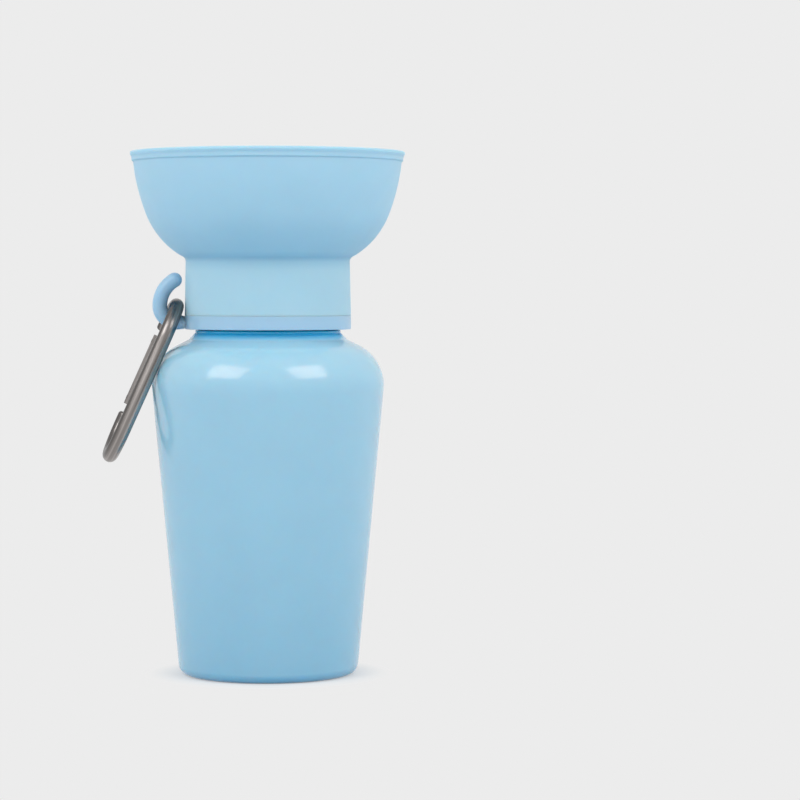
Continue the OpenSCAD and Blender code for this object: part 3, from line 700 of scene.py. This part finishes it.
flare = (1 - np.sqrt(1 - (1 - from_collar) ** 2)) * at_root
hook_skin = skin(sweep(path, thick - flattened * (1 - from_collar) * at_root,
                       thick + flare_w * flare, (0, 1, 0)))
piece("lid", [lid_skin, hook_skin] + lid_lugs + well_lugs, "lid", lid_finish,
      ["lid_shell"])

# %% [markdown]
# ## The silicone bowl
# On the real bottle the sleeve, the bowl and its rim are one moulding. Three pieces could
# stand for them, but would part where they meet when the bowl is folded, so they are one
# skin. The sleeve grips the lid's skirt and is stretched a little wider at its foot. The
# bowl's outside is two arcs that touch, one tight and one slack, and a soft round runs from
# the sleeve into it. The rim is a bead that starts with a small step. When the bowl is folded
# the wall rolls inside out between the sleeve, which stays on the lid, and the rim, which
# moves. Here the skin rides on no body; its place is baked into its mesh.

# %% Bowl sizes
bowl_t, floor_t, root_rise, floor_hole_r = 1.5, 2.2, 0.7, 21.5
floor_z = deck_z + floor_t
bowl_z0 = floor_z + root_rise
root_slope, belly_slope, rim_slope = 28, 69, 84
lower_r, upper_r, rim_h, rim_proud = 31.6, 80.0, 3.3, 1.1


def on_slope(centre, radius, degrees):
    """The point of a circle where it climbs at that slope: centre + radius (sin s, -cos s)."""
    s = math.radians(degrees)
    return np.array(centre) + radius * np.array([math.sin(s), -math.cos(s)])


lower_c = np.array([sleeve_r, bowl_z0]) - on_slope((0, 0), lower_r, root_slope)
belly = on_slope(lower_c, lower_r, belly_slope)
upper_c = belly - on_slope((0, 0), upper_r, belly_slope)
wall_top = on_slope(upper_c, upper_r, rim_slope)
root_in = on_slope(lower_c, lower_r - bowl_t, root_slope)
root_edge_r = root_in[0] - (root_in[1] - bowl_z0) / math.tan(math.radians(root_slope))
floor_edge_r = root_edge_r - root_rise / math.tan(math.radians(root_slope))
wall_r, wall_z = wall_top
rim_r, rim_in_r = wall_r + rim_proud, wall_r - bowl_t * math.sin(math.radians(rim_slope))
bowl_top_z = wall_z + rim_h
print("bowl top", round(float(bowl_top_z), 2), "packed", node_mm("bowl_rim")[1][2].round(2))

# %% Bowl skin
outer_lower = arc(lower_c, lower_r, root_slope - 90, belly_slope - 90, 26)
outer_upper = arc(upper_c, upper_r, belly_slope - 90, rim_slope - 90, 14)
inner_upper = arc(upper_c, upper_r - bowl_t, rim_slope - 90, belly_slope - 90, 14)
inner_lower = arc(lower_c, lower_r - bowl_t, belly_slope - 90, root_slope - 90, 26)
sleeve_foot_z, sleeve_foot_r, sleeve_top_r = collar_z + 0.03, sleeve_r + 0.18, sleeve_r - 0.25
bowl_corners = (
    [(sleeve_in_r, sleeve_foot_z, 0.2), (sleeve_foot_r, sleeve_foot_z, 0.12),
     (sleeve_top_r, bowl_z0, 3.2)]
    + plain(outer_lower[3:]) + plain(outer_upper[1:-1])
    + [(wall_r - 0.06, wall_z - 0.6, 0.3), (wall_r + 0.52, wall_z - 0.1, 0.45),
       (wall_r + 0.62, wall_z + 1.2, 1.4), (rim_r, wall_z + 2.3, 0.9),
       (rim_r, bowl_top_z, 0.95), (rim_in_r, bowl_top_z, 1.1)]
    + plain(inner_upper[1:]) + plain(inner_lower[1:-2])
    + [(root_edge_r, bowl_z0, 4.0), (floor_edge_r, floor_z, 2.0),
       (floor_hole_r, floor_z, 0.35), (floor_hole_r, deck_z, 0.2),
       (sleeve_in_r, deck_z, 0.4), (sleeve_in_r, bead_z + bead_h, 0.1),
       (sleeve_in_r - bead_d, bead_z + bead_h, 0.3), (sleeve_in_r - bead_d, bead_z, 0.3),
       (sleeve_in_r, bead_z, 0.1)]
)
bowl_outline = evened(rounded(bowl_corners, steps=5, guard=0.25), step=3.0, closed=True)
bowl_angles = np.linspace(0, 2 * math.pi, 192, endpoint=False)
fold_start, fold_end = (0, 0, bowl_z0 * MM), (0, 0, wall_z * MM)
bowl = piece("silicone_bowl", [skin(revolve(bowl_outline, bowl_angles), loop=True)], None,
             silicone_finish, ["bowl_sleeve", "bowl_wall", "bowl_rim"],
             blend=("lid", "bowl_rim", fold_start, fold_end))

# %% [markdown]
# The real wall turns over at an even rate, with only its root lying flatter. This cell only
# reads the places of the bowl's vertices into an array and changes nothing.

# %% The bowl's vertex places
places = np.empty(3 * len(bowl.data.vertices), np.float32)
bowl.data.vertices.foreach_get("co", places)

# %% [markdown]
# ## The stopper
# The stopper closes the hole in the bowl's floor: a domed disc with a loop handle above, and
# a plug below with two thread lugs, four upright grooves that let the water past and a
# groove for its ring. The upright grooves could be Boolean cuts, but pulling the turned
# skin's radius in, over about a degree at each edge, keeps its faces even. The loop is a half
# ring on two flared feet.

# %% Stopper sizes
disc_gap, disc_edge_t, dome_r = 0.3, 2.0, 100.0
disc_r, disc_z = floor_hole_r - disc_gap, deck_z + disc_gap
disc_edge_z = disc_z + disc_edge_t
dome_c_z = disc_edge_z - math.sqrt(dome_r**2 - disc_r**2)
loop_rod_r, loop_r = 3.0, 16.2
loop_z = dome_c_z + math.sqrt(dome_r**2 - loop_r**2)
seal_t, seal_gap, pocket_r = 1.9, 0.3, 6.3
plug_r, plug_z = well_r - thread_depth - thread_gap, nozzle_z + seal_gap + seal_t / 2
pocket_z = plug_z + seal_t / 2
o_ring_z, o_groove_r, o_groove_half = deck_z - 1.5, 11, 1.0
guide_r, guide_z = well_r - disc_gap, o_ring_z - o_groove_half - disc_gap
print("loop top", round(loop_z + loop_r + loop_rod_r, 2), node_mm("stopper")[1][2].round(2))

# %% Stopper skin
dome = arc((0, dome_c_z), dome_r, math.degrees(math.acos((disc_r - 0.9) / dome_r)), 90, 12)
stopper_corners = (
    [(0, pocket_z, 0), (pocket_r, pocket_z, 0.1), (pocket_r, plug_z, 0.3),
     (plug_r, plug_z, 0.5), (plug_r, guide_z, 0.1), (guide_r, guide_z, 0.15),
     (guide_r, o_ring_z - o_groove_half, 0.1), (o_groove_r, o_ring_z - o_groove_half, 0.3),
     (o_groove_r, o_ring_z + o_groove_half, 0.3), (guide_r, o_ring_z + o_groove_half, 0.1),
     (guide_r, disc_z, 0.2), (disc_r, disc_z, 0.5), (disc_r, disc_edge_z, 0.9)]
    + plain(dome)
)
stopper_outline = evened(rounded(stopper_corners, steps=5, closed=False), step=2.5, closed=False)
groove_deg, groove_half, groove_r = 45 + 90 * np.arange(4), 1.5, plug_r - 1.6
edge = np.array([-1.9, -1.6, -1.5, -1.4, -1.2, 1.2, 1.4, 1.5, 1.6, 1.9]) / plug_r
stopper_angles = np.sort(np.concatenate(
    [np.linspace(0, 2 * math.pi, 144, endpoint=False)]
    + [math.radians(g) + edge for g in groove_deg]))
off_groove = np.abs(stopper_angles % (math.pi / 2) - math.pi / 4)
inside_groove = np.clip((groove_half + 0.12 - off_groove * plug_r) / 0.24, 0, 1)
below_guide = np.clip((guide_z - 0.05 - stopper_outline[:, 1]) / 0.4, 0, 1)[:, None]
grid = revolve(stopper_outline, stopper_angles)
excess = np.clip(stopper_outline[:, :1] - groove_r, 0, None) * inside_groove * below_guide
grid[..., 0] -= excess * np.cos(stopper_angles)
grid[..., 1] -= excess * np.sin(stopper_angles)
plug_lug_span = 84  # each end reaches a little way over a groove
plug_lugs = lugs(stopper_starts, plug_lug_span, plug_r - 0.3, plug_r + thread_depth,
                 stopper_lug_root_h, stopper_lug_tip_h, stopper_lead,
                 stopper_lug_z - stopper_lead / stopper_starts / 2)

# %% Loop handle
foot_depth, foot_h, foot_flare = 1.6, 3.2, 1.5
leg = np.linspace(-foot_depth, 0, 10)[:-1]
bend = arc((0, 0), loop_r, 0, 180, 72)
flat_path = np.concatenate([
    np.column_stack([0 * leg + loop_r, leg]), bend, np.column_stack([0 * leg - loop_r, leg[::-1]])])
path = np.stack([flat_path[:, 0], 0 * flat_path[:, 0], flat_path[:, 1] + loop_z], -1)
above_disc = np.clip(flat_path[:, 1] / foot_h, 0, 1)
thick = loop_rod_r + foot_flare * (1 - np.sqrt(1 - (1 - above_disc) ** 2))
loop_skin = skin(sweep(path, thick, thick, (0, 1, 0), 44))
piece("stopper_with_loop", [skin(grid), loop_skin] + plug_lugs, "stopper", lid_finish,
      ["stopper"])

# %% [markdown]
# ## The carabiner
# The body is one length of wire bent into a long ring that is open where the gate sits. It is
# drawn flat, in its own plane, and then stood in the hook, leaning out and turned a little.
# A bevelled curve could be that wire, but a swept grid also tells how far along the wire each
# point lies, which its drawing marks need. The wire's two ends are rounded off, and a thin
# tongue at each end reaches into the gate.


# %% Place in the hook
def hung(points):
    """From the carabiner's own plane (x across, y along, z through) to its place in the hook."""
    stance = Matrix.Rotation(lean, 3, "Y") @ Matrix.Rotation(twist, 3, "Z")
    stance = stance @ Matrix.Rotation(math.pi / 2, 3, "Z") @ Matrix.Rotation(math.pi / 2, 3, "X")
    return points @ np.array(stance).T + np.array([hang_x, 0, hang_z])


carabiner_l, carabiner_w = 67.5, 31.0
bend_r = carabiner_w / 2 - rod_r
low_c = carabiner_l - 2 * rod_r - bend_r
gate_drop, gate_l, hinge_gap, nose_gap, pin_inset = 1.1, 28.6, 2.4, 3.3, 2.5
gate_y0 = bend_r + gate_drop
pivot_y, gate_y1 = gate_y0 + pin_inset, gate_y0 + gate_l
latch_y, nose_y = gate_y1 - pin_inset, gate_y1 + nose_gap

# %% Wire of the body
top_end = math.degrees(math.asin((hinge_gap - gate_drop) / bend_r))
top_bend = arc((0, -bend_r), bend_r, top_end, 180, 60)
low_bend = arc((0, -low_c), bend_r, 180, 360, 64)
spine = np.linspace(top_bend[-1], low_bend[0], 14)[1:-1]
stub = np.linspace(low_bend[-1], (bend_r, -nose_y), 6)[1:]
flat_path = np.concatenate([top_bend, spine, low_bend, stub])


def fine_ends(points, length, count):
    """Sets points close together over the first and last length of a path: they lie
    length (1 - cos q) from the end, for even steps of q from 0 to 90 degrees. Gives the points
    and how far along the path each one lies."""
    gone = np.concatenate([[0], np.cumsum(np.linalg.norm(np.diff(points, axis=0), axis=1))])
    near = length * (1 - np.cos(np.linspace(0, math.pi / 2, count)))
    s = np.unique(np.concatenate([near, gone[(gone > length) & (gone < gone[-1] - length)],
                                  gone[-1] - near]).round(6))
    return np.stack([np.interp(s, gone, points[:, k]) for k in (0, 1)], -1), s


end_round = 1.1
flat_path, s = fine_ends(flat_path, end_round, 8)
to_end = np.clip(np.minimum(s, s[-1] - s), 0, end_round)
thick = rod_r - end_round + np.sqrt(np.clip(end_round**2 - (end_round - to_end) ** 2, 0, None))
wire = sweep(np.column_stack([flat_path, 0 * s]), thick, thick, (0, 0, 1), 36)
wire_verts, wire_faces = skin(wire)


# %% Tongues
def plate(outline, half, ease=0.1):
    """A flat plate between -half and half along z. Its edges are eased by a ring on each face
    that is drawn in towards the outline's middle."""
    inward = outline.mean(0) - outline
    drawn = outline + inward / np.linalg.norm(inward, axis=1)[:, None] * ease
    rings = [(drawn, -half), (outline, ease - half), (outline, half - ease), (drawn, half)]
    grid = np.stack([np.column_stack([o, np.full(len(o), z)]) for o, z in rings])
    verts, faces = skin(grid)
    verts, faces = verts[:-2], faces[:1]
    count = len(outline)
    faces += [np.arange(count)[None, ::-1], 3 * count + np.arange(count)[None]]
    return verts, faces


tongue_r, tongue_half, notch_r, rooted = 1.8, 1.0, 1.1, 1.5
tongue_in, tongue_out = bend_r - tongue_r, bend_r + tongue_r
hinge_root, latch_root = -(gate_y0 - hinge_gap - rooted), -nose_y - rooted
latch_top = -(latch_y - notch_r - 0.8)
hinge_outline = np.concatenate([
    [[tongue_in, hinge_root], [tongue_in, -pivot_y]],
    arc((bend_r, -pivot_y), tongue_r, 180, 360, 20)[1:],
    [[tongue_out, hinge_root]]])
latch_outline = rounded([
    (tongue_in, latch_root, 0), (tongue_out, latch_root, 0), (tongue_out, latch_top, 0.6),
    (tongue_in, latch_top, 0.3), (tongue_in, -latch_y + notch_r, 0.2),
    (bend_r, -latch_y + notch_r, 0)]
    + plain(arc((bend_r, -latch_y), notch_r, 90, -90, 12)[1:])
    + [(tongue_in, -latch_y - notch_r, 0.2)], steps=3, guard=0.05)
tongues = [plate(hinge_outline, tongue_half), plate(latch_outline, tongue_half)]
body_skins = [(hung(v), f) for v, f in [(wire_verts, wire_faces)] + tongues]
carabiner = piece("carabiner_wire", body_skins, "carabiner", wire_finish,
                  ["carabiner_body"])

# %% [markdown]
# At angle a round the section and length s along the wire, wire_place is (R cos a, R sin a, s)
# in metres. rubbed, the painted light and shade, follows sin a, which runs from -1 on the flank
# away from the bottle to 1 on the flank beside it: a painted highlight a third of the way to
# the outer flank, a duller middle, and a bright inner half. In the middle of the top bend,
# where the hook shades it, three quarters are taken off as painted shade, fading over 15 mm.

# %% Place on the wire
a = np.linspace(0, 2 * math.pi, wire.shape[1], endpoint=False)
place = np.zeros((len(carabiner.data.vertices), 3))
along = s[:, None]
ring = np.stack([rod_r * np.cos(a) + 0 * along, rod_r * np.sin(a) + 0 * along,
                 along + 0 * a], -1).reshape(-1, 3)
place[:len(ring)] = ring
place[len(ring):] = [rod_r, 0, s[-1]]
wire_place = carabiner.data.attributes.new("wire_place", "FLOAT_VECTOR", "POINT")
wire_place.data.foreach_set("vector", (place * MM).ravel().astype(np.float32))
# rubbed: painted highlights and painted shade, set by the place round the wire's section and, in
# the top bend, by the hook's shade
painted_light_shade = carabiner.data.attributes.new("painted_light_shade", "FLOAT", "POINT")
from_middle = np.where(flat_path[:, 1] >= -bend_r, np.abs(flat_path[:, 0]), np.inf)
rest_s = s[np.argmin(from_middle)]
taken_off, fades_over = 0.75, 15.0
kept = 1 - taken_off * np.exp(-((place[:, 2] - rest_s) / fades_over) ** 2)
flank = (-1, -0.8, -0.55, -0.35, -0.1, 0.3, 0.9, 1)
shine = (0, 0.1, 0.7, 1.0, 0.45, 0.9, 1.0, 0.6)
level = np.interp(place[:, 1] / rod_r, flank, shine) * kept
painted_light_shade.data.foreach_set("value", level.astype(np.float32))

# %% [markdown]
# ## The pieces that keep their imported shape
# The gate with its pins, plunger and spring, the dip tube and the three soft seals are plain
# turned, drilled or coiled shapes. They could be worked out as grids too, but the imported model
# already has them right, so they keep their meshes and get the finishes made above.

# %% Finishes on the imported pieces
packed_finish = {
    "carabiner_gate": gate_finish, "gate_pivot_pin": pin_finish, "gate_latch_pin": pin_finish,
    "gate_plunger": pin_finish, "gate_spring": spring_finish, "dip_tube": tube_finish,
    "neck_gasket": seal_finish, "stopper_o_ring": seal_finish, "stopper_seal": seal_finish,
}
for name, material in packed_finish.items():
    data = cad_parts[name].data
    data.materials.clear()
    data.materials.append(material)
print("kept:", sorted(packed_finish))
